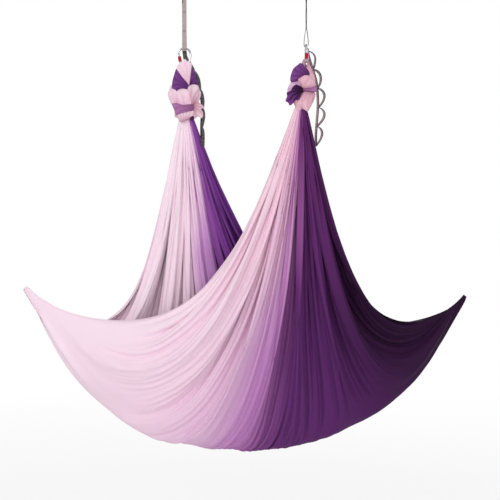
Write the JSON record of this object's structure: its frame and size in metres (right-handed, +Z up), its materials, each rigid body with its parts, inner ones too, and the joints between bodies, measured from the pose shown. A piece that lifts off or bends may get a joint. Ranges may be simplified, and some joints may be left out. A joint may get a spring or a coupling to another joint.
{
  "type": "aerial yoga hammock",
  "caption": "Wide cloth sling tied to two screw-gate carabiners, hung by daisy-chain straps with loose tails from two ceiling brackets.",
  "frame": {"origin": "centre of the near ceiling bracket's top face, where it meets the ceiling", "axes": "+Z up, +X to the right across the cloth towards its right point, +Y from the near bracket side to the far one; the far bracket is behind and to the left"},
  "size_m": [2.1687, 0.4638, 2.4174],
  "materials": {
    "zinc_plated": "zinc-plated steel",
    "webbing": "dark woven nylon webbing with bar tacks",
    "polished_steel": "polished steel",
    "steel": "bright steel",
    "red_sleeve": "red anodised, knurled",
    "pale_cloth": "matt nylon tricot, pale pink",
    "orchid_cloth": "matt nylon tricot, pink to purple"
  },
  "bodies": {
    "brackets": {"near_ceiling_bracket": "zinc_plated", "far_ceiling_bracket": "zinc_plated"},
    "hammock": {"near_strap": "webbing", "far_strap": "webbing", "near_strap_tail": "webbing", "far_strap_tail": "webbing", "near_carabiner_body": "polished_steel", "far_carabiner_body": "polished_steel", "near_knot": "pale_cloth", "far_knot": "pale_cloth", "sling": "orchid_cloth"},
    "near_gate_body": {"near_gate": "polished_steel", "near_hinge_pin": "steel", "near_latch_pin": "steel", "near_gate_spring": "steel", "near_gate_plunger": "steel"},
    "far_gate_body": {"far_gate": "polished_steel", "far_hinge_pin": "steel", "far_latch_pin": "steel", "far_gate_spring": "steel", "far_gate_plunger": "steel"},
    "near_sleeve_body": {"near_screw_sleeve": "red_sleeve"},
    "far_sleeve_body": {"far_screw_sleeve": "red_sleeve"}
  },
  "joints": [
    {"name": "hammock_swing", "type": "hinge", "parent": "brackets", "child": "hammock", "pos_m": [0, 0, -0.038], "axis": [-0.8544, 0.5196, 0], "range_deg": [-35, 35]},
    {"name": "near_gate_hinge", "type": "hinge", "parent": "hammock", "child": "near_gate_body", "pos_m": [0, -0.0175, -0.498], "axis": [-1, 0, 0], "range_deg": [0, 24], "stiffness_Nm_per_rad": 0.12, "springref_deg": -22.92},
    {"name": "near_sleeve_slide", "type": "slide", "parent": "near_gate_body", "child": "near_sleeve_body", "axis": [0, -0.1756, 0.9845], "range_m": [0, 0.0205]},
    {"name": "far_gate_hinge", "type": "hinge", "parent": "hammock", "child": "far_gate_body", "pos_m": [-0.6095, 0.36, -0.461], "axis": [0, 1, 0], "range_deg": [0, 24], "stiffness_Nm_per_rad": 0.12, "springref_deg": -22.92},
    {"name": "far_sleeve_slide", "type": "slide", "parent": "far_gate_body", "child": "far_sleeve_body", "axis": [-0.1756, 0, 0.9845], "range_m": [0, 0.0205]}
  ]
}
